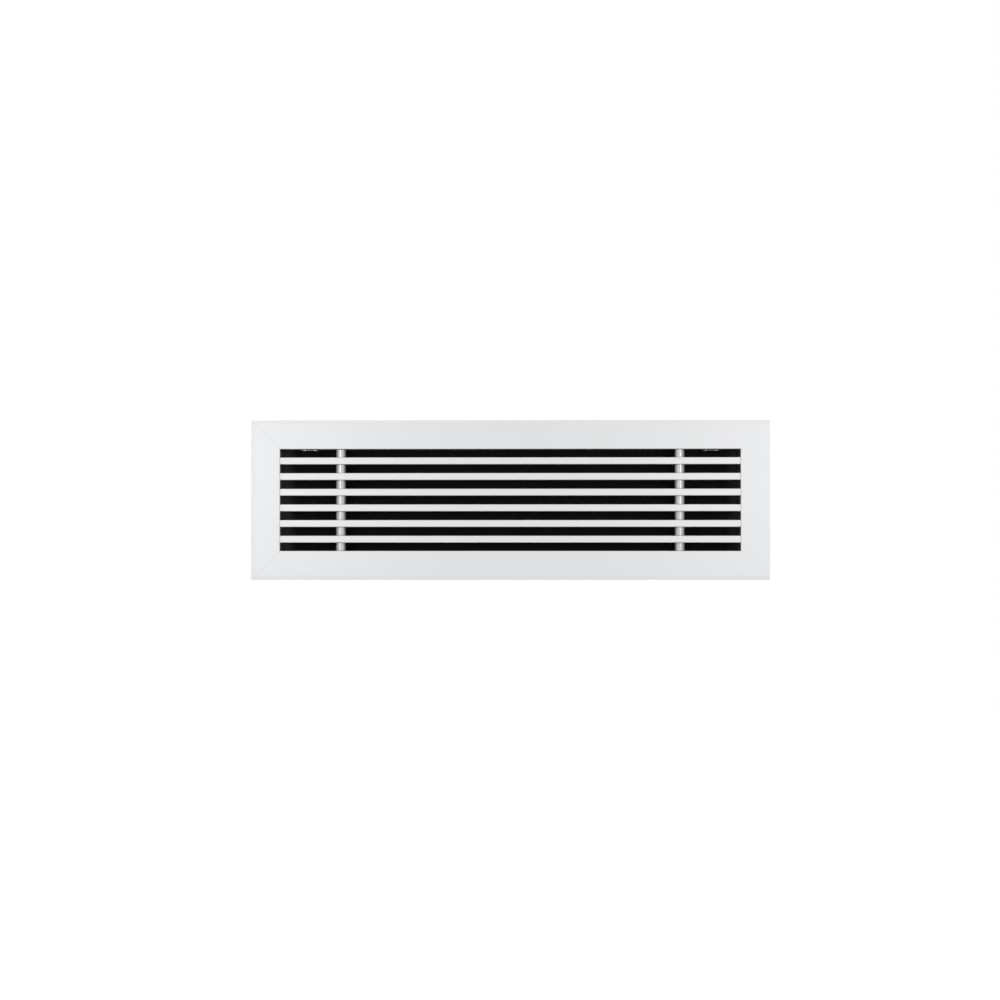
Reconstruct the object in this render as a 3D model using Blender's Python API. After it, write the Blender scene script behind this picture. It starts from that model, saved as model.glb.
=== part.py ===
"""Linear bar grille for a 600 x 150 mm duct opening.

A mitred aluminium frame holds six fixed bars. Two tie rods run from the bottom of the neck to its top,
through every bar, with a spacer tube in each gap. Two spring clips on the top of the neck grip the wall.

Metres. +X runs along the bars, +Z is up and the front faces -Y. The origin is the centre of the wall
opening, in the plane of the wall: the rim of the frame seats there, and the neck reaches behind it.
"""

from math import cos, pi, radians, sin, sqrt, tan

import bmesh
import bpy
from mathutils import Matrix, Vector

# The hole in the wall, and how the frame sits in it
HOLE_LENGTH = 0.600
HOLE_HEIGHT = 0.150
HOLE_CLEARANCE = 0.0095
OVERLAP = 0.025

# The frame's extruded section
SKIN = 0.0015
RIM_DEPTH = 0.006
NECK_DEPTH = 0.040
LIP_RADIUS = 0.0008
BEVEL_RUN = 0.005
BEVEL_DROP = 0.0008
RIM_RADIUS = 0.0006
RIM_LAND = 0.004
FOOT_THICKNESS = 0.0012
CHANNEL_WIDTH = 0.020
CHANNEL_DEPTH = 0.0026
HOOK_REACH = 0.003
HOOK_THICKNESS = 0.0012
MITRE_GAP = 0.0003

# The corner keys
KEY_LEG = 0.060
KEY_TIP_CHAMFER = 0.003

# The bars
BAR_COUNT = 6
BAR_HEIGHT = 0.0084
BAR_DEPTH = 0.022
BAR_WALL = 0.0012
BAR_RADIUS = 0.0008
BAR_BORE_RADIUS = 0.0003
BAR_RECESS = 0.001
BAR_END_GAP = 0.0003
END_SPACER_SHORTER = 0.0006

# The tie rods with their spacers, washers and nuts
ROD_INSET = 0.076
ROD_DIAMETER = 0.005
ROD_CHAMFER = 0.0005
ROD_TAIL = 0.0015
ROD_CLEARANCE = 0.0003
SPACER_DIAMETER = 0.012
SPACER_WALL = 0.0025
WASHER_DIAMETER = 0.010
WASHER_THICKNESS = 0.001
NUT_ACROSS_FLATS = 0.008
NUT_HEIGHT = 0.0047
NUT_FACE_MARGIN = 0.0003
NUT_CHAMFER_ANGLE = radians(30)

# The spring clips
CLIP_INSET = 0.0355
CLIP_WIDTH = 0.0206
CLIP_THICKNESS = 0.0008
CLIP_INNER_LEG = 0.020
CLIP_FLAT = 0.005
CLIP_RISE = 0.016
CLIP_FALL = 0.009
CLIP_TIP_DROP = 0.005
RIB_SPACING = 0.0126
RIB_RADIUS = 0.0009
RIB_TIP_RADIUS = 0.0003
RIB_MARGIN = 0.002

# Room between pieces that touch
SEAT_GAP = 0.0003

# How finely round shapes are cut
ARC_STEPS = 4
BEND_STEPS = 8
BOW_STEPS = 6
ROUND_SEGMENTS = 24
RIB_SEGMENTS = 12
SMOOTH_ANGLE = radians(35)

# Sizes that follow from the ones above
OPENING_LENGTH = HOLE_LENGTH - 2 * (HOLE_CLEARANCE + SKIN)
OPENING_HEIGHT = HOLE_HEIGHT - 2 * (HOLE_CLEARANCE + SKIN)
BORDER = OVERLAP + HOLE_CLEARANCE + SKIN
GAP = (OPENING_HEIGHT - BAR_COUNT * BAR_HEIGHT + 2 * END_SPACER_SHORTER) / (BAR_COUNT + 1)
END_GAP = GAP - END_SPACER_SHORTER
PITCH = GAP + BAR_HEIGHT
BAR_FRONT = -RIM_DEPTH + BAR_RECESS
ROD_Y = BAR_FRONT + BAR_DEPTH / 2
ROD_X = OPENING_LENGTH / 2 - ROD_INSET
ROD_HOLE_RADIUS = ROD_DIAMETER / 2 + ROD_CLEARANCE
NECK_OUTSIDE = OPENING_HEIGHT / 2 + SKIN
WASHER_BOTTOM = NECK_OUTSIDE + SEAT_GAP
NUT_BOTTOM = WASHER_BOTTOM + WASHER_THICKNESS + SEAT_GAP
ROD_HALF = NUT_BOTTOM + NUT_HEIGHT + ROD_TAIL
CLIP_X = OPENING_LENGTH / 2 - CLIP_INSET


def clear_scene():
    for thing in list(bpy.data.objects):
        bpy.data.objects.remove(thing, do_unlink=True)


def make_material(name, colour, roughness, metallic):
    material = bpy.data.materials.new(name)
    material.use_nodes = True
    shader = material.node_tree.nodes["Principled BSDF"]
    shader.inputs["Base Color"].default_value = (*colour, 1.0)
    shader.inputs["Roughness"].default_value = roughness
    shader.inputs["Metallic"].default_value = metallic
    material.diffuse_color = (*colour, 1.0)
    return material


def arc(centre, radius, start, end, steps=ARC_STEPS):
    """Points on an arc, from the start angle to the end angle in degrees."""
    points = []
    for i in range(steps + 1):
        angle = radians(start + (end - start) * i / steps)
        points.append((centre[0] + radius * cos(angle), centre[1] + radius * sin(angle)))
    return points


def make_object(name, bm, material, smooth=False):
    bmesh.ops.recalc_face_normals(bm, faces=bm.faces)
    mesh = bpy.data.meshes.new(name)
    bm.to_mesh(mesh)
    bm.free()
    if smooth:
        mesh.shade_smooth()
        mesh.set_sharp_from_angle(angle=SMOOTH_ANGLE)
    mesh.materials.append(material)
    thing = bpy.data.objects.new(name, mesh)
    bpy.context.collection.objects.link(thing)
    return thing


def strip_solid(first_ring, last_ring):
    """A prism between two rings of points that match one to one."""
    bm = bmesh.new()
    first = [bm.verts.new(point) for point in first_ring]
    last = [bm.verts.new(point) for point in last_ring]
    count = len(first)
    for i in range(count):
        j = (i + 1) % count
        bm.faces.new((first[i], first[j], last[j], last[i]))
    bm.faces.new(first[::-1])
    bm.faces.new(last)
    return bm


def tube_solid(rings):
    """A closed skin over rings of points, where the last ring joins the first, as on a tube with a bore."""
    bm = bmesh.new()
    loops = [[bm.verts.new(point) for point in ring] for ring in rings]
    count = len(loops[0])
    for ring, following in zip(loops, loops[1:] + loops[:1]):
        for i in range(count):
            j = (i + 1) % count
            bm.faces.new((ring[i], ring[j], following[j], following[i]))
    return bm


def turned_solid(rings):
    """A solid over rings of points, closed by a flat cap at each end."""
    bm = bmesh.new()
    loops = [[bm.verts.new(point) for point in ring] for ring in rings]
    count = len(loops[0])
    for ring, following in zip(loops, loops[1:]):
        for i in range(count):
            j = (i + 1) % count
            bm.faces.new((ring[i], ring[j], following[j], following[i]))
    bm.faces.new(loops[0][::-1])
    bm.faces.new(loops[-1])
    return bm


def circle(radius, z, segments=ROUND_SEGMENTS):
    ring = []
    for i in range(segments):
        angle = 2 * pi * i / segments
        ring.append((radius * cos(angle), radius * sin(angle), z))
    return ring


def move(bm, matrix):
    bmesh.ops.transform(bm, matrix=matrix, verts=bm.verts)
    return bm


def cut(thing, cutters):
    for cutter in cutters:
        modifier = thing.modifiers.new("cut_" + cutter.name, "BOOLEAN")
        modifier.operation = "DIFFERENCE"
        modifier.solver = "EXACT"
        modifier.object = cutter


def hide_helper(thing):
    thing.hide_render = True
    thing.display_type = "WIRE"


def frame_outline():
    """The extrusion's section as (distance outward from the opening's edge, depth), one closed outline."""
    front = -RIM_DEPTH
    plate_back = front + SKIN
    hook_front = plate_back + CHANNEL_DEPTH
    hook_back = hook_front + HOOK_THICKNESS
    channel_end = SKIN + CHANNEL_WIDTH
    rim_front = front + BEVEL_DROP
    points = arc((LIP_RADIUS, front + LIP_RADIUS), LIP_RADIUS, 180, 270)
    points.append((BORDER - BEVEL_RUN, front))
    points += arc((BORDER - RIM_RADIUS, rim_front + RIM_RADIUS), RIM_RADIUS, 270, 360)
    # The rim's foot, whose back is the land that seats on the wall
    points.append((BORDER, 0))
    points.append((BORDER - RIM_LAND, 0))
    points.append((BORDER - RIM_LAND, -FOOT_THICKNESS))
    points.append((BORDER - SKIN, -FOOT_THICKNESS))
    points.append((BORDER - SKIN, rim_front + SKIN))
    points.append((BORDER - BEVEL_RUN, plate_back))
    # The outer rib of the key channel, with its hook
    points.append((channel_end + HOOK_THICKNESS, plate_back))
    points.append((channel_end + HOOK_THICKNESS, hook_back))
    points.append((channel_end - HOOK_REACH, hook_back))
    points.append((channel_end - HOOK_REACH, hook_front))
    points.append((channel_end, hook_front))
    points.append((channel_end, plate_back))
    # The hook on the neck, then the neck itself
    points.append((SKIN, plate_back))
    points.append((SKIN, hook_front))
    points.append((SKIN + HOOK_REACH, hook_front))
    points.append((SKIN + HOOK_REACH, hook_back))
    points.append((SKIN, hook_back))
    points.append((SKIN, NECK_DEPTH))
    points.append((0, NECK_DEPTH))
    return points


def make_frame(material, rod_cutters):
    """Four mitred lengths of the same extrusion, two long and two short."""
    outline = frame_outline()
    half_length = OPENING_LENGTH / 2
    half_height = OPENING_HEIGHT / 2
    # Each mitre plane draws back by half of the gap, measured along the length
    back = MITRE_GAP / sqrt(2)
    for name, side in (("frame_top", 1), ("frame_bottom", -1)):
        ends = []
        for end in (-1, 1):
            ends.append([(end * (half_length - back + u), y, side * (half_height + u)) for u, y in outline])
        thing = make_object(name, strip_solid(*ends), material, smooth=True)
        cut(thing, rod_cutters)
    for name, side in (("frame_right", 1), ("frame_left", -1)):
        ends = []
        for end in (-1, 1):
            ends.append([(side * (half_length + u), y, end * (half_height - back + u)) for u, y in outline])
        make_object(name, strip_solid(*ends), material, smooth=True)


def make_corner_keys(material):
    """Flat L plates that slide into the channels of two members and hold each mitre together."""
    inner = SKIN + SEAT_GAP
    outer = SKIN + CHANNEL_WIDTH - SEAT_GAP
    tip = outer - KEY_LEG
    chamfer = KEY_TIP_CHAMFER
    outline = [
        (outer, outer),
        (tip + chamfer, outer),
        (tip, outer - chamfer),
        (tip, inner + chamfer),
        (tip + chamfer, inner),
        (inner, inner),
        (inner, tip + chamfer),
        (inner + chamfer, tip),
        (outer - chamfer, tip),
        (outer, tip + chamfer),
    ]
    front = -RIM_DEPTH + SKIN + SEAT_GAP
    back = -RIM_DEPTH + SKIN + CHANNEL_DEPTH - SEAT_GAP
    corners = (("top_left", -1, 1), ("top_right", 1, 1), ("bottom_left", -1, -1), ("bottom_right", 1, -1))
    for name, x_side, z_side in corners:
        rings = []
        for y in (front, back):
            ring = []
            for u, v in outline:
                ring.append((x_side * (OPENING_LENGTH / 2 + u), y, z_side * (OPENING_HEIGHT / 2 + v)))
            rings.append(ring)
        make_object("corner_key_" + name, strip_solid(*rings), material)


def rounded_rectangle(depth, height, radius):
    """A (y, z) outline about the rod's axis, with each corner an arc."""
    half_depth = depth / 2 - radius
    half_height = height / 2 - radius
    points = arc((half_depth, half_height), radius, 0, 90)
    points += arc((-half_depth, half_height), radius, 90, 180)
    points += arc((-half_depth, -half_height), radius, 180, 270)
    points += arc((half_depth, -half_height), radius, 270, 360)
    return points


def make_bars(material, rod_cutters):
    """Hollow bars, open at both ends, on an even pitch."""
    half_length = OPENING_LENGTH / 2 - BAR_END_GAP
    outside = rounded_rectangle(BAR_DEPTH, BAR_HEIGHT, BAR_RADIUS)
    bore = rounded_rectangle(BAR_DEPTH - 2 * BAR_WALL, BAR_HEIGHT - 2 * BAR_WALL, BAR_BORE_RADIUS)
    for i in range(BAR_COUNT):
        centre_z = OPENING_HEIGHT / 2 - END_GAP - BAR_HEIGHT / 2 - i * PITCH
        rings = []
        for outline, end in ((outside, -1), (outside, 1), (bore, 1), (bore, -1)):
            rings.append([(end * half_length, ROD_Y + y, centre_z + z) for y, z in outline])
        thing = make_object(f"bar_{i + 1}", tube_solid(rings), material, smooth=True)
        cut(thing, rod_cutters)


def gap_span(i):
    """The lowest and highest point of a gap, counted from the top. The first and last are the shorter ones."""
    top = OPENING_HEIGHT / 2
    low = max(top - END_GAP - i * PITCH, -top)
    high = min(top - END_GAP - i * PITCH + GAP, top)
    return low, high


def tube_rings(inner_radius, outer_radius, low, high):
    """Rings over a plain tube, up the outside and back down the bore."""
    return [
        circle(inner_radius, low),
        circle(outer_radius, low),
        circle(outer_radius, high),
        circle(inner_radius, high),
    ]


def nut_rings():
    """Rings over a hexagon nut that stands on z = 0, with both ends chamfered by a cone."""
    apothem = NUT_ACROSS_FLATS / 2
    flat_radius = apothem - NUT_FACE_MARGIN
    bottom_edge = []
    top_edge = []
    for i in range(ROUND_SEGMENTS):
        angle = 2 * pi * i / ROUND_SEGMENTS
        from_flat = (angle + pi / 6) % (pi / 3) - pi / 6
        radius = apothem / cos(from_flat)
        fall = (radius - flat_radius) * tan(NUT_CHAMFER_ANGLE)
        bottom_edge.append((radius * cos(angle), radius * sin(angle), fall))
        top_edge.append((radius * cos(angle), radius * sin(angle), NUT_HEIGHT - fall))
    return [
        circle(ROD_HOLE_RADIUS, 0),
        circle(flat_radius, 0),
        bottom_edge,
        top_edge,
        circle(flat_radius, NUT_HEIGHT),
        circle(ROD_HOLE_RADIUS, NUT_HEIGHT),
    ]


def make_tie_rods(rod_material, spacer_material):
    """Each rod with its spacers, one in each gap, and a washer and nut outside the neck at each end."""
    rod_radius = ROD_DIAMETER / 2
    for side_name, side in (("left", -1), ("right", 1)):
        axis = Vector((side * ROD_X, ROD_Y, 0))
        rings = [
            circle(rod_radius - ROD_CHAMFER, -ROD_HALF),
            circle(rod_radius, -ROD_HALF + ROD_CHAMFER),
            circle(rod_radius, ROD_HALF - ROD_CHAMFER),
            circle(rod_radius - ROD_CHAMFER, ROD_HALF),
        ]
        rod = make_object("tie_rod_" + side_name, turned_solid(rings), rod_material, smooth=True)
        rod.location = axis
        for i in range(BAR_COUNT + 1):
            low, high = gap_span(i)
            outer_radius = SPACER_DIAMETER / 2
            rings = tube_rings(outer_radius - SPACER_WALL, outer_radius, SEAT_GAP, high - low - SEAT_GAP)
            name = f"spacer_{side_name}_{i + 1}"
            spacer = make_object(name, tube_solid(rings), spacer_material, smooth=True)
            spacer.location = axis + Vector((0, 0, low))
        for end_name, turn in (("top", Matrix()), ("bottom", Matrix.Rotation(pi, 4, "X"))):
            seat = Matrix.Translation(axis) @ turn
            rings = tube_rings(ROD_HOLE_RADIUS, WASHER_DIAMETER / 2, 0, WASHER_THICKNESS)
            name = f"washer_{side_name}_{end_name}"
            washer = make_object(name, tube_solid(rings), rod_material, smooth=True)
            washer.matrix_world = seat @ Matrix.Translation((0, 0, WASHER_BOTTOM))
            name = f"nut_{side_name}_{end_name}"
            nut = make_object(name, tube_solid(nut_rings()), rod_material, smooth=True)
            nut.matrix_world = seat @ Matrix.Translation((0, 0, NUT_BOTTOM))


def make_rod_cutters():
    cutters = []
    for side_name, side in (("left", -1), ("right", 1)):
        bm = turned_solid([circle(ROD_HOLE_RADIUS, -ROD_HALF), circle(ROD_HOLE_RADIUS, ROD_HALF)])
        move(bm, Matrix.Translation((side * ROD_X, ROD_Y, 0)))
        cutter = make_object("rod_hole_" + side_name, bm, None)
        hide_helper(cutter)
        cutters.append(cutter)
    return cutters


def clip_centreline():
    """The middle of the strip as (y, height above the neck's inner face), from inner leg to spring tip."""
    half = CLIP_THICKNESS / 2
    inner = -SEAT_GAP - half
    outer = SKIN + SEAT_GAP + half
    bend_radius = (outer - inner) / 2
    bend_centre = (NECK_DEPTH, (outer + inner) / 2)
    peak = SKIN + HOLE_CLEARANCE - half
    points = [(NECK_DEPTH - CLIP_INNER_LEG, inner)]
    points += arc(bend_centre, bend_radius, -90, 90, BEND_STEPS)
    rise_start = NECK_DEPTH - CLIP_FLAT
    for i in range(BOW_STEPS + 1):
        share = i / BOW_STEPS
        height = outer + (peak - outer) * (1 - cos(pi * share)) / 2
        points.append((rise_start - CLIP_RISE * share, height))
    fall_start = rise_start - CLIP_RISE
    for i in range(1, BOW_STEPS + 1):
        share = i / BOW_STEPS
        height = peak - CLIP_TIP_DROP * (1 - cos(pi * share / 2))
        points.append((fall_start - CLIP_FALL * share, height))
    return points


def thickened(points, thickness):
    """A closed outline that stands half the thickness off each side of a line of points."""
    left = []
    right = []
    last = len(points) - 1
    for i, point in enumerate(points):
        before = Vector(points[max(i - 1, 0)])
        after = Vector(points[min(i + 1, last)])
        along = (after - before).normalized()
        off = Vector((-along.y, along.x)) * thickness / 2
        left.append(tuple(Vector(point) + off))
        right.append(tuple(Vector(point) - off))
    return left + right[::-1]


def make_rib(x):
    """A pressed rib that runs along the clip's inner leg, as a round bar with pointed ends."""
    start = NECK_DEPTH - CLIP_INNER_LEG + RIB_MARGIN
    end = NECK_DEPTH - RIB_MARGIN
    middle = -SEAT_GAP - CLIP_THICKNESS
    rings = [
        circle(RIB_TIP_RADIUS, start, RIB_SEGMENTS),
        circle(RIB_RADIUS, start + RIB_RADIUS, RIB_SEGMENTS),
        circle(RIB_RADIUS, end - RIB_RADIUS, RIB_SEGMENTS),
        circle(RIB_TIP_RADIUS, end, RIB_SEGMENTS),
    ]
    # The rings stack along Z, so the bar is laid down along +Y
    lay_down = Matrix.Rotation(-pi / 2, 4, "X")
    place = Matrix.Translation((x, 0, OPENING_HEIGHT / 2 + middle))
    return move(turned_solid(rings), place @ lay_down)


def make_spring_clips(material):
    outline = thickened(clip_centreline(), CLIP_THICKNESS)
    for side_name, side in (("left", -1), ("right", 1)):
        rings = []
        for x in (-CLIP_WIDTH / 2, CLIP_WIDTH / 2):
            rings.append([(side * CLIP_X + x, y, OPENING_HEIGHT / 2 + height) for y, height in outline])
        clip = make_object("spring_clip_" + side_name, strip_solid(*rings), material, smooth=True)
        for number, offset in enumerate((-RIB_SPACING / 2, RIB_SPACING / 2)):
            rib = make_object(f"rib_{side_name}_{number + 1}", make_rib(side * CLIP_X + offset), material)
            hide_helper(rib)
            union = clip.modifiers.new("press_" + rib.name, "BOOLEAN")
            union.operation = "UNION"
            union.solver = "EXACT"
            union.object = rib


clear_scene()
white_coat = make_material("white_powder_coat", (0.80, 0.82, 0.83), 0.45, 0.0)
mill_aluminium = make_material("mill_aluminium", (0.72, 0.73, 0.75), 0.40, 1.0)
zinc_steel = make_material("zinc_plated_steel", (0.62, 0.64, 0.66), 0.32, 1.0)
spring_steel = make_material("spring_steel", (0.42, 0.43, 0.45), 0.35, 1.0)

rod_cutters = make_rod_cutters()
make_frame(white_coat, rod_cutters)
make_corner_keys(mill_aluminium)
make_bars(white_coat, rod_cutters)
make_tie_rods(zinc_steel, mill_aluminium)
make_spring_clips(spring_steel)
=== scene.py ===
# %% [markdown]
# # A linear bar grille, dressed for its picture
#
# A linear grille covers the hole where a duct meets a wall. This one has a mitred aluminium border and
# six fixed bars, with two tie rods that thread the bars and carry a short spacer tube in every gap.
# The construction model is loaded first as a fixed frame. It says where each piece is and how large it
# is. This lesson then gives each piece its finish, and remakes with Geometry Nodes the ones whose edges,
# threads or round faces deserve a finer mesh than a construction model needs.

# %% Load the construction model
from math import cos, degrees, pi, radians, sin, sqrt, tan

import bmesh
import bpy
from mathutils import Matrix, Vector


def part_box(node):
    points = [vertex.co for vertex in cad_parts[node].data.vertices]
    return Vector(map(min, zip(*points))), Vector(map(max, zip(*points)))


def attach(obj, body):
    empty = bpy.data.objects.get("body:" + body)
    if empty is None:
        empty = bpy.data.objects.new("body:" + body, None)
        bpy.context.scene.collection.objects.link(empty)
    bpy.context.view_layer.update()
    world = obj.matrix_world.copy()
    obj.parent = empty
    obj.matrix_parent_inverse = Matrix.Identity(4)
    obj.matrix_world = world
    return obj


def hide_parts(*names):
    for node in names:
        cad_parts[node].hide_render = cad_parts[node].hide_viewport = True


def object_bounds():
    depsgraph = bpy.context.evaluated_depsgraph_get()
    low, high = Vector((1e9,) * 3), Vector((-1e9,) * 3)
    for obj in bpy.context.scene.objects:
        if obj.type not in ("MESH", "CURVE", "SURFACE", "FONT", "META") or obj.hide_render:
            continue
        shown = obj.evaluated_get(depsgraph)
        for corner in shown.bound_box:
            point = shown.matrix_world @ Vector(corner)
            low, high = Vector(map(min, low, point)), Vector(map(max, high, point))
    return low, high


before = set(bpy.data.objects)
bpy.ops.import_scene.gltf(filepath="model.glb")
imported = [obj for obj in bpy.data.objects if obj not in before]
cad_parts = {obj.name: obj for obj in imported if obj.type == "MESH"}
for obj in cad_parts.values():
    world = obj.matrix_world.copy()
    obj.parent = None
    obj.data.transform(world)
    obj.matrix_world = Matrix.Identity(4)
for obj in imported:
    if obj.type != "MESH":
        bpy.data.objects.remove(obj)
cad_low, cad_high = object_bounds()
MM = 1000
print("The model measures", [round(side * MM, 1) for side in cad_high - cad_low], "mm")

# %% [markdown]
# ## The camera
#
# A flat object is photographed square on from a few metres, so that its edges stay parallel. The pixels
# across the border give the size of one pixel on the face, and with the distance that gives the lens. The
# camera stands a little low and to the right, which shows a sliver of the left and upper walls behind the
# border. It is aimed at the point of the face that lies in the middle of the picture.

# %% Stand the camera
PICTURE_SIDE = 1000
PIXEL = 0.0012524
GRILLE_CENTRE_PX = (509.9, 499.9)
CAMERA_DISTANCE = 3.0
CAMERA_RIGHT = 0.05
CAMERA_BELOW = 0.07


def add_object(name, data):
    """Puts a new object in the scene."""
    made = bpy.data.objects.new(name, data)
    bpy.context.collection.objects.link(made)
    return made


face_y = cad_low.y
middle = PICTURE_SIDE / 2
aim = Vector(((middle - GRILLE_CENTRE_PX[0]) * PIXEL, face_y, (GRILLE_CENTRE_PX[1] - middle) * PIXEL))
camera = add_object("camera", bpy.data.cameras.new("camera"))
camera.location = (CAMERA_RIGHT, face_y - CAMERA_DISTANCE, -CAMERA_BELOW)
camera.rotation_euler = (aim - camera.location).to_track_quat("-Z", "Y").to_euler()
camera.data.lens = camera.data.sensor_width * CAMERA_DISTANCE / (PICTURE_SIDE * PIXEL)
bpy.context.scene.camera = camera
bpy.context.scene.view_settings.view_transform = "Standard"
print("The lens is", round(camera.data.lens, 1), "mm long")

# %% [markdown]
# ## A short way to write nodes
#
# Materials and Geometry Nodes trees are both graphs of nodes. Two small classes make them read like
# formulas. The first, Socket, stands for one output of a node. A sum written with it adds the Math nodes
# that work the sum out, so 1 - mask or height * 0.5 can be written as it is thought.

# %% Sockets that do sums
class Socket:
    """An output of a node. Sums with it add Math nodes to its tree."""

    def __init__(self, tree, socket):
        self.tree = tree
        self.socket = socket

    def also(self, name):
        """Another output of the same node."""
        return Socket(self.tree, self.socket.node.outputs[name])

    def math(self, operation, *values):
        return self.tree.node("ShaderNodeMath", {"operation": operation}, dict(enumerate(values)))

    def __add__(self, other):
        return self.math("ADD", self, other)

    def __radd__(self, other):
        return self.math("ADD", other, self)

    def __sub__(self, other):
        return self.math("SUBTRACT", self, other)

    def __rsub__(self, other):
        return self.math("SUBTRACT", other, self)

    def __mul__(self, other):
        return self.math("MULTIPLY", self, other)

    def __rmul__(self, other):
        return self.math("MULTIPLY", other, self)

    def __truediv__(self, other):
        return self.math("DIVIDE", self, other)

    def __rtruediv__(self, other):
        return self.math("DIVIDE", other, self)

    def __neg__(self):
        return self * -1

    def __gt__(self, other):
        return self.math("GREATER_THAN", self, other)

    def __lt__(self, other):
        return self.math("LESS_THAN", self, other)

    def __abs__(self):
        return self.math("ABSOLUTE", self)


print("Besides sums, a Socket knows", [name for name in vars(Socket) if not name.startswith("_")])

# %% [markdown]
# The second class, Tree, adds any other node from its type, its settings and what goes into its sockets.
# The settings come first, because they decide which sockets a node has. What comes up again and again,
# such as soft noise of a given grain, has a method of its own.

# %% Trees that take nodes
class Tree:
    """A node tree to which nodes are added one call at a time."""

    def __init__(self, nodes):
        self.nodes = nodes

    def node(self, kind, settings=None, sockets=None):
        """Adds a node with its settings, then fills its sockets."""
        made = self.nodes.nodes.new(kind)
        for name, value in (settings or {}).items():
            setattr(made, name, value)
        return self.fill(made, sockets or {})

    def fill(self, made, sockets):
        """Gives a node's sockets, by name or by number, a value or the socket that feeds them."""
        usable = [socket for socket in made.inputs if socket.enabled]
        for key, value in sockets.items():
            socket = usable[key] if isinstance(key, int) else next(s for s in usable if s.name == key)
            for each in value if isinstance(value, list) else [value]:
                if isinstance(each, tuple) and any(isinstance(part, Socket) for part in each):
                    each = self.vector(each)
                if isinstance(each, Socket):
                    self.nodes.links.new(each.socket, socket)
                else:
                    socket.default_value = each
        return Socket(self, next((s for s in made.outputs if s.enabled), None))

    def vector(self, parts):
        """A vector of its X, Y and Z."""
        return self.node("ShaderNodeCombineXYZ", {}, dict(enumerate(parts)))

    def parts(self, vector):
        """The X, Y and Z of a vector."""
        split = self.node("ShaderNodeSeparateXYZ", {}, {0: vector})
        return split, split.also("Y"), split.also("Z")

    def noise(self, vector, grain, detail=2.0):
        """Soft noise between 0 and 1, whose grain is a length in metres."""
        sockets = {"Vector": vector, "Scale": 1 / grain, "Detail": detail}
        return self.node("ShaderNodeTexNoise", {}, sockets)

    def streaks(self, vector, grains, detail=3.0):
        """Soft noise between 0 and 1, with a grain of its own in metres along X, Y and Z."""
        scale = tuple(1 / grain for grain in grains)
        shrunk = self.node("ShaderNodeVectorMath", {"operation": "MULTIPLY"}, {0: vector, 1: scale})
        return self.noise(shrunk, 1.0, detail)

    def blend(self, share, first, second):
        """A colour between two colours."""
        return self.node("ShaderNodeMix", {"data_type": "RGBA"}, {"Factor": share, "A": first, "B": second})

    def fade(self, value, start, end):
        """0 before the start and 1 after the end, with a soft step between."""
        settings = {"interpolation_type": "SMOOTHSTEP"}
        return self.node("ShaderNodeMapRange", settings, {"Value": value, "From Min": start, "From Max": end})


print("A Tree knows", [name for name in vars(Tree) if not name.startswith("_")])

# %% [markdown]
# ## The floor and the surroundings
#
# The grille is shown on pure white. The white comes from the world and the floor as the camera and
# mirrors see them, and not from more light on the object. The floor adds a little glow to its lit
# colour, so it reads as white and still takes a soft shadow. It is clear from below, for a look at the
# underside.

# %% Lay the floor
FLOOR_DROP = 0.58
FLOOR_SIDE = 8.0
FLOOR_COLOUR = (0.80, 0.80, 0.80, 1.0)
FLOOR_GLOW = 0.66
SHEET_CORNERS = [(-1, -1), (1, -1), (1, 1), (-1, 1)]


def seen_directly(tree):
    """1 for what the camera sees, in a mirror or through glass too, and 0 for light on its way."""
    path = tree.node("ShaderNodeLightPath")
    mirrored = path.math("MAXIMUM", path, path.also("Is Glossy Ray"))
    return path.math("MAXIMUM", mirrored, path.also("Is Transmission Ray"))


def empty_material(name):
    material = bpy.data.materials.new(name)
    material.use_nodes = True
    material.node_tree.nodes.clear()
    return material, Tree(material.node_tree)


def hide_where(tree, hidden, shader):
    """Ends a material's tree with a shader that is clear where hidden is 1."""
    clear = tree.node("ShaderNodeBsdfTransparent")
    shown = tree.node("ShaderNodeMixShader", {}, {0: hidden, 1: shader, 2: clear})
    tree.node("ShaderNodeOutputMaterial", {}, {"Surface": shown})


def stage_sheet(name, corners, material):
    """A flat four-cornered sheet that isn't part of the object."""
    mesh = bpy.data.meshes.new(name)
    mesh.from_pydata(corners, [], [(0, 1, 2, 3)])
    mesh.materials.append(material)
    add_object(name, mesh)
    print("Staged", name)


floor_paint, tree = empty_material("pale_floor")
lit = tree.node("ShaderNodeBsdfDiffuse", {}, {"Color": FLOOR_COLOUR})
glow = tree.node("ShaderNodeEmission", {}, {"Strength": seen_directly(tree) * FLOOR_GLOW})
bright = tree.node("ShaderNodeAddShader", {}, {0: lit, 1: glow})
hide_where(tree, tree.node("ShaderNodeNewGeometry").also("Backfacing"), bright)

half_side = FLOOR_SIDE / 2
floor_z = cad_low.z - FLOOR_DROP
stage_sheet("floor", [(x * half_side, y * half_side, floor_z) for x, y in SHEET_CORNERS], floor_paint)

# %% [markdown]
# The world is a plain white. To the camera and to mirrors it is full white, and as a light it is weaker,
# which leaves room for the lamps to shape the object.

# %% Light the world
WORLD_LIGHT = 0.735
PURE_WHITE = (1.0, 1.0, 1.0, 1.0)

world = bpy.data.worlds.new("white_studio")
world.use_nodes = True
world.node_tree.nodes.clear()
bpy.context.scene.world = world
tree = Tree(world.node_tree)
strength = WORLD_LIGHT + (1 - WORLD_LIGHT) * seen_directly(tree)
sky = tree.node("ShaderNodeBackground", {}, {"Color": PURE_WHITE, "Strength": strength})
tree.node("ShaderNodeOutputWorld", {}, {"Surface": sky})
print("The world lights the grille with a strength of", WORLD_LIGHT)

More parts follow.
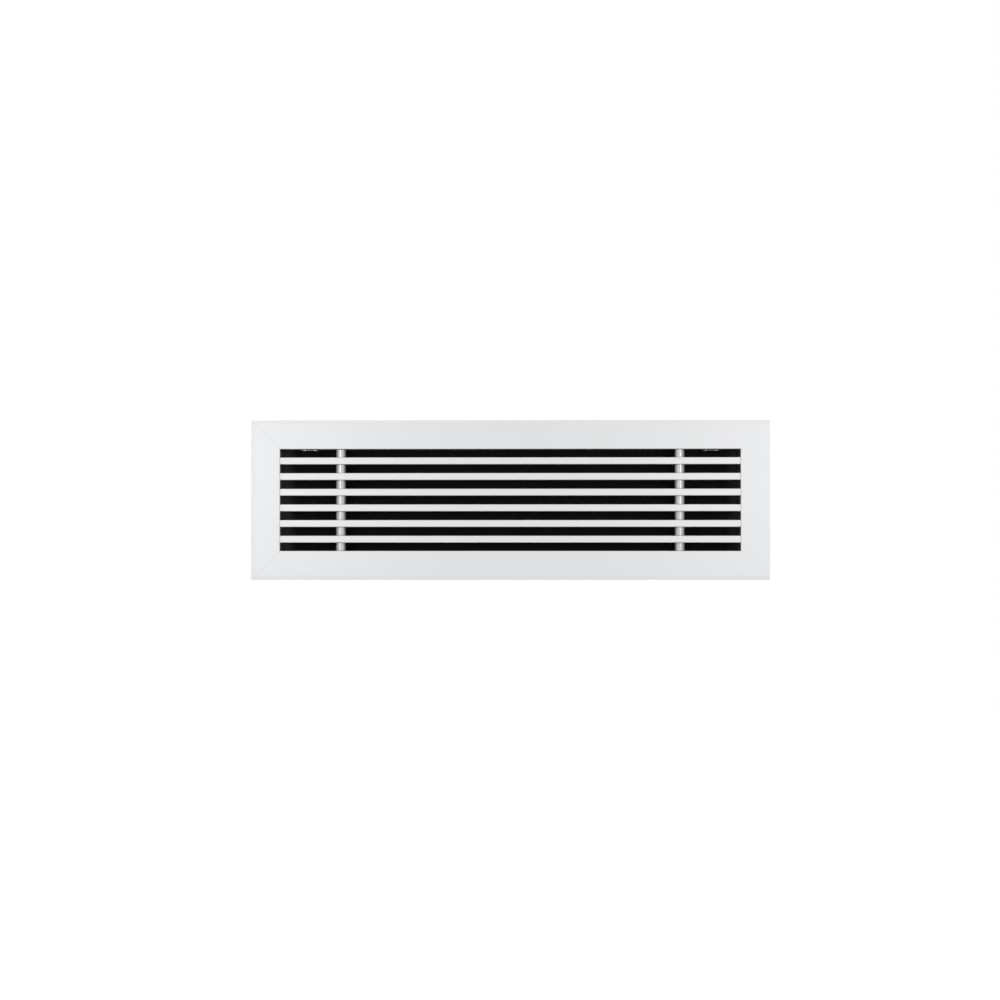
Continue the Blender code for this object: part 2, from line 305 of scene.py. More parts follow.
# %% [markdown]
# ## Painted shade behind the bars
#
# Behind a grille lies an unlit duct. A matt near-black card just inside the back of the neck stands for it
# as painted shade, with its edges sunk in the neck's walls, so that no light slips past them. Its ends are
# painted a little paler, more so at the left: painted light for what a duct's side walls would catch. It is
# one sided, and a ray that has come in from behind never meets it, so the back of the grille is seen and
# lit as if no card were there.

# %% Close the duct behind the grille
# Painted shade: the card's near-black colour. Painted light: the paler colours at its two ends.
CARD_PAINTED_SHADE = (0.016, 0.016, 0.016, 1.0)
CARD_PAINTED_LIGHT_LEFT = (0.088, 0.092, 0.090, 1.0)
CARD_PAINTED_LIGHT_RIGHT = (0.060, 0.062, 0.061, 1.0)
CARD_PAINTED_LIGHT_WIDTH = 0.018
CARD_INSET = 0.001
SKIN = 0.0015

opening_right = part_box("frame_right")[0].x
opening_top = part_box("frame_top")[0].z
card_paint, tree = empty_material("painted_shade_duct")
across = tree.parts(tree.node("ShaderNodeTexCoord").also("Object"))[0]
# Painted light at the two ends of the card, painted shade between them.
painted_end_light = tree.blend(across > 0.0, CARD_PAINTED_LIGHT_LEFT, CARD_PAINTED_LIGHT_RIGHT)
painted_shade_and_light = tree.blend(tree.fade(opening_right - abs(across), 0.0, CARD_PAINTED_LIGHT_WIDTH), painted_end_light, CARD_PAINTED_SHADE)
dark = tree.node("ShaderNodeBsdfDiffuse", {}, {"Color": painted_shade_and_light})
behind = tree.node("ShaderNodeNewGeometry").also("Backfacing")
clear_sheets_passed = tree.node("ShaderNodeLightPath").also("Transparent Depth")
hide_where(tree, behind.math("MAXIMUM", behind, clear_sheets_passed > 0.5), dark)

card_right = opening_right + SKIN / 2
card_top = opening_top + SKIN / 2
card_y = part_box("frame_right")[1].y - CARD_INSET
stage_sheet("painted_shade_card", [(x * card_right, card_y, z * card_top) for x, z in SHEET_CORNERS], card_paint)
opening = [round(2 * half * MM, 1) for half in (opening_right, opening_top)]
print("The opening between the lips measures", opening, "mm")

# %% [markdown]
# ## The lamps
#
# Two soft boxes stand a metre before the wall, one a little way past each end of the grille, and look at
# the wall, a little down. A grid on each box keeps its light from spreading, so the border is brightest
# at its ends and each round tube shows one bright upright line. The left box is a little stronger.

# %% Stand the lamps
LAMP_HEIGHT = 0.17
LAMP_DISTANCE = 1.0
LAMP_SIDE = 0.36
LAMP_SPREAD = radians(88)


def soft_box(name, x, power):
    light = bpy.data.lights.new(name, "AREA")
    light.size = LAMP_SIDE
    light.spread = LAMP_SPREAD
    light.energy = power
    lamp = add_object(name, light)
    lamp.location = (x, -LAMP_DISTANCE, LAMP_HEIGHT)
    lamp.rotation_euler = Vector((0, LAMP_DISTANCE, -LAMP_HEIGHT)).to_track_quat("-Z", "Y").to_euler()
    lamp.visible_camera = False
    print("Lamp", name, "gives", power, "W")


soft_box("left_soft_box", x=-0.51, power=0.86)
soft_box("right_soft_box", x=0.54, power=0.83)

# %% [markdown]
# ## Powder coat
#
# The border and the bars are aluminium sprayed with a white polyester powder and baked. Melted powder
# flows almost flat, which leaves an orange peel of soft bumps a millimetre or so across, finer grit
# between them and a satin gloss. Powder is charged when it is sprayed, so it hardly enters a deep
# recess: inside the neck the coat thins out to bare extruded metal, with the long fine lines that the
# die draws along each length. Each surface carries an attribute named run, its place before the length
# was turned into the frame, so the lines always follow the length.

# %% Start a finish
def new_finish(name):
    """A material with its Principled shader, and the object's own coordinates."""
    material = bpy.data.materials.new(name)
    material.use_nodes = True
    tree = Tree(material.node_tree)
    shader = material.node_tree.nodes["Principled BSDF"]
    return material, tree, shader, tree.node("ShaderNodeTexCoord").also("Object")


def bumps(tree, height, distance):
    """A normal bent by a height between 0 and 1, whose full step is a length in metres."""
    return tree.node("ShaderNodeBump", {}, {"Strength": 1.0, "Distance": distance, "Height": height})


LINE_SPACING = 0.0004
LINE_LENGTH = 0.4
BROAD_SPACING = LINE_SPACING * 20 / 3
BROAD_LENGTH = 0.8
FINE_SHARE = 0.6
BROAD_SHARE = 0.4


def die_lines(tree, along):
    """Fine lines along X and broader ones among them, as an extrusion die leaves, between 0 and 1."""
    fine = tree.streaks(along, (LINE_LENGTH, LINE_SPACING, LINE_SPACING))
    broad = tree.streaks(along, (BROAD_LENGTH, BROAD_SPACING, BROAD_SPACING), detail=1.0)
    return FINE_SHARE * fine + BROAD_SHARE * broad


print("Die lines are", LINE_SPACING * MM, "mm apart")

# %% [markdown]
# The coat itself is two whites that drift into each other, with the orange peel as a bump. A fade over
# the depth, made ragged by noise, turns it into bare metal with its die lines.

# %% Mix the powder coat
WHITE_A = (0.800, 0.810, 0.820, 1.0)
WHITE_B = (0.786, 0.796, 0.806, 1.0)
COAT_ROUGHNESS = 0.40
DRIFT_GRAIN = 0.05
DRIFT_ROUGHNESS = 0.06
PEEL_GRAIN = 0.0016
PEEL_SHARE = 0.8
GRIT_GRAIN = 0.00025
GRIT_SHARE = 0.2
PEEL_HEIGHT = 0.00004
BARE_METAL = (0.56, 0.57, 0.585, 1.0)
BARE_START = -0.005
BARE_END = 0.004
RAGGED_REACH = 0.006
RAGGED_GRAIN = 0.004
BARE_SMOOTHER = 0.10
BARE_LINE_ROUGHNESS = 0.10
BARE_LINE_SHARE = 0.5


def powder_coat():
    material, tree, shader, place = new_finish("white_powder_coat")
    run = tree.node("ShaderNodeAttribute", {"attribute_name": "run"}).also("Vector")
    depth = tree.parts(place)[1]
    ragged = RAGGED_REACH * (tree.noise(place, RAGGED_GRAIN, detail=3.0) - 0.5)
    bare = tree.fade(depth + ragged, BARE_START, BARE_END)
    lines = die_lines(tree, run)
    drift = tree.noise(place, DRIFT_GRAIN, detail=3.0)
    on_bare_metal = BARE_LINE_ROUGHNESS * lines - BARE_SMOOTHER
    peel = tree.noise(place, PEEL_GRAIN, detail=1.0)
    grit = tree.noise(place, GRIT_GRAIN, detail=1.0)
    grainy = PEEL_SHARE * peel + GRIT_SHARE * grit
    height = grainy * (1 - bare) + BARE_LINE_SHARE * lines * bare
    tree.fill(shader, {
        "Base Color": tree.blend(bare, tree.blend(drift, WHITE_A, WHITE_B), BARE_METAL),
        "Metallic": bare,
        "Roughness": COAT_ROUGHNESS + DRIFT_ROUGHNESS * drift + bare * on_bare_metal,
        "Normal": bumps(tree, height, PEEL_HEIGHT),
    })
    return material


coat = powder_coat()
print("Mixed", coat.name)

# %% [markdown]
# ## Plain aluminium
#
# The spacer tubes and corner keys are extruded aluminium as it leaves the mill, satin, with die lines
# along them. A thin grey oxide makes it half metal, half matt. The lines follow Z on the tubes and X on
# the keys, so the function takes the axis.

# %% Mix the mill aluminium
ALUMINIUM_A = (0.54, 0.545, 0.55, 1.0)
ALUMINIUM_B = (0.49, 0.495, 0.505, 1.0)
ALUMINIUM_METALLIC = 0.40
ALUMINIUM_ROUGHNESS = 0.24
OXIDE_GRAIN = 0.006
OXIDE_ROUGHNESS = 0.04
TUBE_LINE_ROUGHNESS = 0.08
TUBE_LINE_HEIGHT = 0.000012


def mill_aluminium(name, axis):
    """Extruded aluminium with its die lines along one axis, 0 for X or 2 for Z."""
    material, tree, shader, place = new_finish(name)
    x, y, z = tree.parts(place)
    lines = die_lines(tree, tree.vector((z, x, y) if axis == 2 else (x, y, z)))
    oxide = tree.noise(place, OXIDE_GRAIN)
    tree.fill(shader, {
        "Base Color": tree.blend(oxide, ALUMINIUM_A, ALUMINIUM_B),
        "Metallic": ALUMINIUM_METALLIC,
        "Roughness": ALUMINIUM_ROUGHNESS + TUBE_LINE_ROUGHNESS * lines + OXIDE_ROUGHNESS * oxide,
        "Normal": bumps(tree, lines, TUBE_LINE_HEIGHT),
    })
    return material


upright_aluminium = mill_aluminium("mill_aluminium_tube", 2)
level_aluminium = mill_aluminium("mill_aluminium_plate", 0)
print("Mixed", upright_aluminium.name, "and", level_aluminium.name)

# %% [markdown]
# ## Zinc plate
#
# The rods, nuts and washers are steel under bright zinc, whose film has a faint blue and straw cast that
# drifts over a few millimetres, and whose small crystals scatter the gloss.

# %% Mix the zinc plate
ZINC_BLUE = (0.60, 0.63, 0.66, 1.0)
ZINC_STRAW = (0.67, 0.66, 0.62, 1.0)
ZINC_ROUGHNESS = 0.24
CAST_GRAIN = 0.0035
CRYSTAL_GRAIN = 0.00035
CRYSTAL_ROUGHNESS = 0.10
CRYSTAL_HEIGHT = 0.000008


def zinc_plate():
    material, tree, shader, place = new_finish("zinc_plated_steel")
    crystals = tree.noise(place, CRYSTAL_GRAIN)
    tree.fill(shader, {
        "Base Color": tree.blend(tree.noise(place, CAST_GRAIN), ZINC_BLUE, ZINC_STRAW),
        "Metallic": 1.0,
        "Roughness": ZINC_ROUGHNESS + CRYSTAL_ROUGHNESS * crystals,
        "Normal": bumps(tree, crystals, CRYSTAL_HEIGHT),
    })
    return material


zinc = zinc_plate()
print("Mixed", zinc.name)

# %% [markdown]
# ## Spring steel
#
# The clips are hardened spring strip, brushed along its length and darkened by its temper. In line with
# their ribs a painted highlight makes them brighter, which a point attribute tells.

# %% Mix the spring steel
TEMPER_A = (0.18, 0.185, 0.195, 1.0)
TEMPER_B = (0.21, 0.20, 0.187, 1.0)
TEMPER_GRAIN = 0.009
# The colour of the painted highlight along the ribs.
PAINTED_HIGHLIGHT_COLOUR = (0.52, 0.53, 0.54, 1.0)
SPRING_ROUGHNESS = 0.22
BRUSH_SPACING = 0.00012
BRUSH_LENGTH = 0.02
BRUSH_ROUGHNESS = 0.12
BRUSH_HEIGHT = 0.000010


def tempered_spring_steel():
    material, tree, shader, place = new_finish("spring_steel")
    brushed = tree.streaks(place, (BRUSH_SPACING, BRUSH_LENGTH, BRUSH_LENGTH))
    tempered = tree.blend(tree.noise(place, TEMPER_GRAIN), TEMPER_A, TEMPER_B)
    # The ribs carry a painted highlight: a brighter colour in line with them.
    rubbed = tree.node("ShaderNodeAttribute", {"attribute_name": "rubbed"}).also("Fac")
    tree.fill(shader, {
        "Base Color": tree.blend(rubbed, tempered, PAINTED_HIGHLIGHT_COLOUR),
        "Metallic": 1.0,
        "Roughness": SPRING_ROUGHNESS + BRUSH_ROUGHNESS * brushed,
        "Normal": bumps(tree, brushed, BRUSH_HEIGHT),
    })
    return material


spring = tempered_spring_steel()
print("Mixed", spring.name)

# %% [markdown]
# ## From a mesh to a finished piece
#
# However a mesh was made, it is finished the same way. It becomes an object at the origin, shaded smooth
# between its sharp edges, which a fine bevel may break. Then it is hung on the root body, and the
# construction pieces that it stands for are hidden.

# %% Finish a piece
SHARP_ANGLE = radians(32)
EDGE_SEGMENTS = 2


def finish_piece(name, mesh, nodes, edge=0.0):
    """Makes an object of a mesh and lets it stand for pieces of the construction model."""
    mesh.name = name
    piece = add_object(name, mesh)
    mesh.shade_smooth()
    mesh.set_sharp_from_angle(angle=SHARP_ANGLE)
    if edge:
        bevel = piece.modifiers.new("edges", "BEVEL")
        bevel.width = edge
        bevel.segments = EDGE_SEGMENTS
        bevel.limit_method = "ANGLE"
        bevel.angle_limit = SHARP_ANGLE
    even = piece.modifiers.new("even_shading", "WEIGHTED_NORMAL")
    even.keep_sharp = True
    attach(piece, "root")
    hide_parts(*nodes)
    print(name, "has", len(mesh.polygons), "faces and stands for", len(nodes), "pieces")


print("Edges that turn by more than", round(degrees(SHARP_ANGLE)), "degrees stay sharp")

# %% [markdown]
# ## From a Geometry Nodes tree to a mesh
#
# Most pieces are grown by a tree whose sizes are named inputs. The function below builds the tree, sets
# the modifier's inputs by their identifiers and keeps the result as a plain mesh, which is then finished.

# %% Grow a piece
def grow(name, build, material, nodes, sizes, outline=None, edge=0.0):
    """Builds a tree, runs it on an outline or on nothing, and finishes the mesh that comes out."""
    group = bpy.data.node_groups.new(name, "GeometryNodeTree")
    panel = group.interface
    panel.new_socket(name="Geometry", in_out="INPUT", socket_type="NodeSocketGeometry")
    for label, size in sizes.items():
        kind = "NodeSocketInt" if isinstance(size, int) else "NodeSocketFloat"
        panel.new_socket(name=label, in_out="INPUT", socket_type=kind)
    panel.new_socket(name="Material", in_out="INPUT", socket_type="NodeSocketMaterial")
    panel.new_socket(name="Geometry", in_out="OUTPUT", socket_type="NodeSocketGeometry")
    tree = Tree(group)
    given = tree.node("NodeGroupInput")
    shape = tree.node("GeometryNodeRealizeInstances", {}, {"Geometry": build(tree, given.also)})
    shape = tree.node("GeometryNodeSetMaterial", {}, {"Geometry": shape, "Material": given.also("Material")})
    tree.node("NodeGroupOutput", {}, {"Geometry": shape})

    source = add_object(name + "_source", outline or bpy.data.meshes.new(name + "_source"))
    modifier = source.modifiers.new("nodes", "NODES")
    modifier.node_group = group
    values = {**sizes, "Material": material}
    for item in panel.items_tree:
        if item.in_out == "INPUT" and item.name in values:
            modifier[item.identifier] = values[item.name]
    graph = bpy.context.evaluated_depsgraph_get()
    mesh = bpy.data.meshes.new_from_object(source.evaluated_get(graph))
    bpy.data.objects.remove(source)
    finish_piece(name, mesh, nodes, edge)


print("Ready to grow", len(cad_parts), "construction pieces anew")

# %% [markdown]
# Some small steps come up in most trees: to move or join shapes, to cut one with others, and to weld
# points that lie on one another.

# %% Small steps for the trees
WELD = 0.000001


def move(tree, shape, translation=(0.0, 0.0, 0.0), rotation=(0.0, 0.0, 0.0)):
    sockets = {"Geometry": shape, "Translation": translation, "Rotation": rotation}
    return tree.node("GeometryNodeTransform", {}, sockets)


def join(tree, *shapes):
    return tree.node("GeometryNodeJoinGeometry", {}, {"Geometry": list(shapes)})


def cut(tree, shape, *cutters, operation="DIFFERENCE"):
    settings = {"operation": operation, "solver": "EXACT"}
    if operation == "INTERSECT":
        return tree.node("GeometryNodeMeshBoolean", settings, {"Mesh": [shape, *cutters]})
    return tree.node("GeometryNodeMeshBoolean", settings, {"Mesh 1": shape, "Mesh 2": list(cutters)})


def weld(tree, shape):
    return tree.node("GeometryNodeMergeByDistance", {}, {"Geometry": shape, "Distance": WELD})


print("Points within", WELD * MM * MM, "micrometre of one another are welded")

# %% [markdown]
# Larger steps are shared too: to push a flat face out into a solid, as an extrusion press does, to stand
# a shape on both tie rods, and to stack copies of one below another.

# %% Larger steps for the trees
CUTTER_SIDES = 64


def push(tree, face, length):
    """Pushes a flat face that looks along +X through a length, centred on X = 0, into a closed solid."""
    start = move(tree, face, (length * -0.5, 0.0, 0.0))
    sockets = {"Mesh": start, "Offset Scale": length, "Individual": False}
    pushed = tree.node("GeometryNodeExtrudeMesh", {}, sockets)
    back = tree.node("GeometryNodeFlipFaces", {}, {"Mesh": start})
    return weld(tree, join(tree, pushed, back))


def on_both_rods(tree, given, shape):
    """An upright shape copied to where the left and the right tie rod run."""
    left = move(tree, shape, (-given("Rod X"), given("Rod Y"), 0.0))
    return join(tree, left, move(tree, shape, (given("Rod X"), given("Rod Y"), 0.0)))


def rod_holes(tree, given, length):
    """Two upright cylinders that cut holes for the tie rods."""
    sockets = {"Vertices": CUTTER_SIDES, "Radius": given("Hole radius"), "Depth": length}
    return on_both_rods(tree, given, tree.node("GeometryNodeMeshCylinder", {}, sockets))


def stack(tree, shape, count, top, pitch):
    """Copies of a shape one below another, the first at a height and each a pitch lower."""
    sockets = {"Count": count, "Start Location": (0.0, 0.0, top), "Offset": (0.0, 0.0, -pitch)}
    points = tree.node("GeometryNodeMeshLine", {}, sockets)
    return tree.node("GeometryNodeInstanceOnPoints", {}, {"Points": points, "Instance": shape})


print("Round holes are cut with", CUTTER_SIDES, "sides")

# %% [markdown]
# The sizes and places that go into the trees are measured on the construction pieces.

# %% Measure the construction pieces
def pieces(start):
    """The names of the construction pieces that start with a word, in order."""
    return sorted(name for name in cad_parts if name.startswith(start))


def middle_of(node):
    low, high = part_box(node)
    return (low + high) / 2


def size_of(node):
    low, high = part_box(node)
    return high - low


rod_place = {"Rod X": middle_of("tie_rod_right").x, "Rod Y": middle_of("tie_rod_right").y}
print("The right rod stands at X and Y of", [round(value * MM, 1) for value in rod_place.values()], "mm")

# %% [markdown]
# ## The mitred frame
#
# All four sides are cut from one aluminium extrusion. Its section has the border plate with a thin lip at
# the opening and a rounded rim, the neck that goes into the wall, and behind the plate a channel with two
# hooks, which holds the corner keys. The section is drawn once, as corners with a rounding each, and
# becomes one flat face. The first cell turns such corners into points.

# %% Round the corners of an outline
ROUNDING_STEPS = 6


def rounded(corners):
    """Points round an outline, with an arc at each of its (u, v, radius) corners."""
    points = []
    for i, (u, v, radius) in enumerate(corners):
        here = Vector((u, v))
        before = (Vector(corners[i - 1][:2]) - here).normalized()
        after = (Vector(corners[(i + 1) % len(corners)][:2]) - here).normalized()
        half_angle = before.angle(after) / 2
        centre = here + (before + after).normalized() * radius / sin(half_angle)
        start = here + before * radius / tan(half_angle) - centre
        end = here + after * radius / tan(half_angle) - centre
        for step in range(ROUNDING_STEPS + 1):
            turned = start.lerp(end, step / ROUNDING_STEPS)
            points.append(centre + turned.normalized() * radius)
    return points


print("An arc at a corner has", ROUNDING_STEPS + 1, "points")

# %% Draw the frame's section
FRONT = face_y
NECK_BACK = 0.040
BEVEL_RUN = 0.005
BEVEL_DROP = 0.0008
LIP_RADIUS = 0.0008
RIM_RADIUS = 0.0006
BEVEL_RADIUS = 0.006
RIM_LAND = 0.004
FOOT = 0.0012
CHANNEL_WIDTH = 0.020
CHANNEL_DEPTH = 0.0026
HOOK = 0.0012
HOOK_REACH = 0.003
DIE_EDGE = 0.0002


def keep_mesh(bm, name):
    """The mesh that a drawing in bmesh becomes."""
    mesh = bpy.data.meshes.new(name)
    bm.to_mesh(mesh)
    bm.free()
    return mesh


def frame_section(border):
    """The extrusion's section in the plane X = 0, with depth along Y and the distance outward along Z."""
    rim_front = FRONT + BEVEL_DROP
    plate_back = FRONT + SKIN
    hook_front = plate_back + CHANNEL_DEPTH
    hook_back = hook_front + HOOK
    channel = SKIN + CHANNEL_WIDTH
    corners = [
        (0, FRONT, LIP_RADIUS),
        (border - BEVEL_RUN, FRONT, BEVEL_RADIUS),
        (border, rim_front, RIM_RADIUS),
        (border, 0, DIE_EDGE),
        (border - RIM_LAND, 0, DIE_EDGE),
        (border - RIM_LAND, -FOOT, DIE_EDGE),
        (border - SKIN, -FOOT, DIE_EDGE),
        (border - SKIN, rim_front + SKIN, DIE_EDGE),
        (border - BEVEL_RUN, plate_back, BEVEL_RADIUS),
        (channel + HOOK, plate_back, DIE_EDGE),
        (channel + HOOK, hook_back, DIE_EDGE),
        (channel - HOOK_REACH, hook_back, DIE_EDGE),
        (channel - HOOK_REACH, hook_front, DIE_EDGE),
        (channel, hook_front, DIE_EDGE),
        (channel, plate_back, DIE_EDGE),
        (SKIN, plate_back, DIE_EDGE),
        (SKIN, hook_front, DIE_EDGE),
        (SKIN + HOOK_REACH, hook_front, DIE_EDGE),
        (SKIN + HOOK_REACH, hook_back, DIE_EDGE),
        (SKIN, hook_back, DIE_EDGE),
        (SKIN, NECK_BACK, DIE_EDGE),
        (0, NECK_BACK, DIE_EDGE),
    ]
    bm = bmesh.new()
    face = bm.faces.new([bm.verts.new((0, v, u)) for u, v in rounded(corners)])
    face.normal_update()
    if face.normal.x < 0:
        face.normal_flip()
    return keep_mesh(bm, "frame_section")


section = frame_section(cad_high.x - opening_right)
print("The section has", len(section.vertices), "points")

# %% [markdown]
# The tree pushes the section out to a bar and slides every point along, so that both ends slope at 45
# degrees. It stores where each point was before the length is turned into place, as the powder coat's
# die lines need.

# %% Saw a length with mitred ends
MITRE_GAP = 0.00008


def remember_run(tree, shape):
    """Stores the place of every point of a length, as an attribute named run."""
    stored = {"Geometry": shape, "Name": "run", "Value": tree.node("GeometryNodeInputPosition")}
    return tree.node("GeometryNodeStoreNamedAttribute", {"data_type": "FLOAT_VECTOR"}, stored)


def mitred_length(tree, face, half_span, seat, gap, turn):
    """One side of the frame: the section pushed out from X = -1 to 1, its ends sloped, turned into place."""
    bar = push(tree, face, 2.0)
    x, y, z = tree.parts(tree.node("GeometryNodeInputPosition"))
    reach = half_span + z - gap / sqrt(2)
    sloped = tree.node("GeometryNodeSetPosition", {}, {"Geometry": bar, "Position": (x * reach, y, z + seat)})
    return move(tree, remember_run(tree, sloped), rotation=(0.0, turn, 0.0))


print("Mitres meet with a gap of", MITRE_GAP * MM, "mm")

# %% [markdown]
# Once a key is in its channel, a punch dents both hooks over each of its legs, which locks it. The dents
# are cut by blunt cones, and each set of four stands on the corners of a rectangle.

# %% Punch the hooks
MARK_SIDES = 24
MARK_RADIUS = 0.0011
MARK_TIP_RADIUS = 0.0003
MARK_DEPTH = 0.0007
MARK_FROM_CORNER = 0.015


def at_four_corners(tree, shape, x, y, z):
    """Copies a shape to the corners of an upright rectangle, at plus and minus x and z."""
    sockets = {"Size X": x * 2, "Size Y": z * 2, "Vertices X": 2, "Vertices Y": 2}
    corners = move(tree, tree.node("GeometryNodeMeshGrid", {}, sockets), (0.0, y, 0.0), (pi / 2, 0.0, 0.0))
    return tree.node("GeometryNodeInstanceOnPoints", {}, {"Points": corners, "Instance": shape})


def punch_marks(tree, given):
    """The cones for both hooks of every length."""
    sockets = {
        "Vertices": MARK_SIDES,
        "Radius Top": MARK_TIP_RADIUS,
        "Radius Bottom": MARK_RADIUS,
        "Depth": MARK_DEPTH,
    }
    cone = move(tree, tree.node("GeometryNodeMeshCone", {}, sockets), rotation=(pi / 2, 0.0, 0.0))
    y = given("Hook back")
    before_corner = given("Half length") - MARK_FROM_CORNER
    below_corner = given("Half height") - MARK_FROM_CORNER
    marks = []
    for hook in ("Inner hook", "Outer hook"):
        marks.append(at_four_corners(tree, cone, before_corner, y, given("Half height") + given(hook)))
        marks.append(at_four_corners(tree, cone, given("Half length") + given(hook), y, below_corner))
    return tree.node("GeometryNodeRealizeInstances", {}, {"Geometry": join(tree, *marks)})


print("Punch marks are up to", 2 * MARK_RADIUS * MM, "mm wide")

# %% [markdown]
# The top and bottom lengths are seated half the opening's height from its middle and the other two half
# its length. Then top and bottom are drilled for the rods, by cutters that pass through both, and the
# hooks are dented.

# %% Grow the frame
FRAME_EDGE = 0.00006
ROD_HOLE_RADIUS = 0.0028
DRILL_HALF_HEIGHTS = 4


def mitred_frame(tree, given):
    face = given("Geometry")
    half_length = given("Half length")
    half_height = given("Half height")
    gap = given("Mitre gap")
    top = mitred_length(tree, face, half_length, half_height, gap, 0.0)
    right = mitred_length(tree, face, half_height, half_length, gap, pi / 2)
    bottom = mitred_length(tree, face, half_length, half_height, gap, pi)
    left = mitred_length(tree, face, half_height, half_length, gap, -pi / 2)
    holes = rod_holes(tree, given, half_height * DRILL_HALF_HEIGHTS)
    return cut(tree, join(tree, top, right, bottom, left), holes, punch_marks(tree, given))


frame_sizes = {
    "Half length": opening_right,
    "Half height": opening_top,
    "Mitre gap": MITRE_GAP,
    "Inner hook": SKIN + HOOK_REACH / 2,
    "Outer hook": SKIN + CHANNEL_WIDTH - HOOK_REACH / 2,
    "Hook back": FRONT + SKIN + CHANNEL_DEPTH + HOOK,
    "Hole radius": ROD_HOLE_RADIUS,
    **rod_place,
}
frame_nodes = ["frame_top", "frame_right", "frame_bottom", "frame_left"]
grow("mitred_frame", mitred_frame, coat, frame_nodes, frame_sizes, section, FRAME_EDGE)

# %% [markdown]
# ## The bars
#
# Each bar is a flat hollow extrusion, so its section is one rounded rectangle inside another. Fill Curve
# makes a face with a hole of the two, which is pushed out to length and drilled for the rods. The bars
# are alike and stand on an even pitch, so one bar is copied to a line of points.

# %% Grow the bars
BAR_WALL = 0.0012
BAR_RADIUS = 0.0008
BORE_RADIUS = 0.0003


def rounded_rectangle(tree, width, height, radius):
    sheet = tree.node("GeometryNodeCurvePrimitiveQuadrilateral", {}, {"Width": width, "Height": height})
    sockets = {"Curve": sheet, "Count": ROUNDING_STEPS, "Radius": radius}
    return tree.node("GeometryNodeFilletCurve", {"mode": "POLY"}, sockets)


def hollow_bars(tree, given):
    depth = given("Depth")
    height = given("Height")
    wall = given("Wall")
    outside = rounded_rectangle(tree, height, depth, given("Radius"))
    bore = rounded_rectangle(tree, height - wall * 2, depth - wall * 2, given("Bore radius"))
    face = tree.node("GeometryNodeFillCurve", {}, {"Curve": join(tree, outside, bore)})
    upright = move(tree, face, rotation=(0.0, pi / 2, 0.0))
    bar = remember_run(tree, push(tree, upright, given("Length")))
    bar = move(tree, bar, (0.0, given("Rod Y"), 0.0))
    bar = cut(tree, bar, rod_holes(tree, given, depth))
    return stack(tree, bar, given("Count"), given("Top"), given("Pitch"))


bar_nodes = pieces("bar_")
bar_size = size_of(bar_nodes[0])
bar_top = middle_of(bar_nodes[0]).z
bar_pitch = bar_top - middle_of(bar_nodes[1]).z
bar_sizes = {
    "Length": bar_size.x,
    "Depth": bar_size.y,
    "Height": bar_size.z,
    "Wall": BAR_WALL,
    "Radius": BAR_RADIUS,
    "Bore radius": BORE_RADIUS,
    "Hole radius": ROD_HOLE_RADIUS,
    "Top": bar_top,
    "Pitch": bar_pitch,
    "Count": len(bar_nodes),
    **rod_place,
}
grow("bars", hollow_bars, coat, bar_nodes, bar_sizes)

# %% [markdown]
# ## Spacer tubes
#
# In every gap each rod wears a sawn length of aluminium tube. All of them are seen, so they are turned
# finely: a rounded rectangle is swept round a circle.

# %% Turn a ring
TURNED_STEPS = 64


def turned_ring(tree, outer, inner, height, edge):
    """A ring about Z with its middle at the origin."""
    sockets = {"Resolution": TURNED_STEPS, "Radius": (outer + inner) * 0.5}
    circle = tree.node("GeometryNodeCurvePrimitiveCircle", {}, sockets)
    wall = rounded_rectangle(tree, outer - inner, height, edge)
    return tree.node("GeometryNodeCurveToMesh", {}, {"Curve": circle, "Profile Curve": wall})


tube = size_of("spacer_right_2")
print("A tube is", round(tube.x * MM, 1), "mm across")

# %% [markdown]
# The first and last gaps are a little narrower than the others, so the tubes on a rod are two short ones
# and a stack of longer ones between them.

# %% Grow the spacer tubes
SPACER_WALL = 0.0025
SAWN_EDGE = 0.00025


def spacer_tubes(tree, given):
    outer = given("Outer radius")
    inner = given("Inner radius")
    edge = given("Edge")
    long_tube = turned_ring(tree, outer, inner, given("Height"), edge)
    short_tube = turned_ring(tree, outer, inner, given("End height"), edge)
    long_count = given("Count") - 2
    start = given("Pitch") * (long_count - 1) * 0.5
    row = stack(tree, long_tube, long_count, start, given("Pitch"))
    top = move(tree, short_tube, (0.0, 0.0, given("End Z")))
    bottom = move(tree, short_tube, (0.0, 0.0, -given("End Z")))
    return on_both_rods(tree, given, join(tree, row, top, bottom))


spacer_nodes = pieces("spacer_")
spacer_sizes = {
    "Outer radius": tube.x / 2,
    "Inner radius": tube.x / 2 - SPACER_WALL,
    "Height": tube.z,
    "End height": size_of("spacer_right_1").z,
    "End Z": middle_of("spacer_right_1").z,
    "Edge": SAWN_EDGE,
    "Pitch": bar_pitch,
    "Count": len(spacer_nodes) // 2,
    **rod_place,
}
grow("spacer_tubes", spacer_tubes, upright_aluminium, spacer_nodes, spacer_sizes)

# %% [markdown]
# ## Tie rods
#
# Each rod is an M5 steel rod with a rolled thread at both ends. The tree starts from a plain cylinder,
# gathers most of its rows of points at the two ends, and pulls them in along a helix: how deep depends
# on the height and on the angle round the rod, so the ridge climbs one pitch in every turn. A wave that
# rises and falls evenly is made steeper and cut off at top and bottom, for flat crests and roots, and
# near the plain shank the thread fades in.

# %% Grow the tie rods
ROD_SIDES = 32
ROD_ROWS = 219
SHANK_ROWS = 0.012
THREAD_PITCH = 0.0008
THREAD_DEPTH = 0.00049
THREAD_STEEPER = 1.5
THREAD_LOWER = 0.25
THREADED_LENGTH = 0.013
FADE_IN = 1 / 12
ROD_CHAMFER = 0.0006


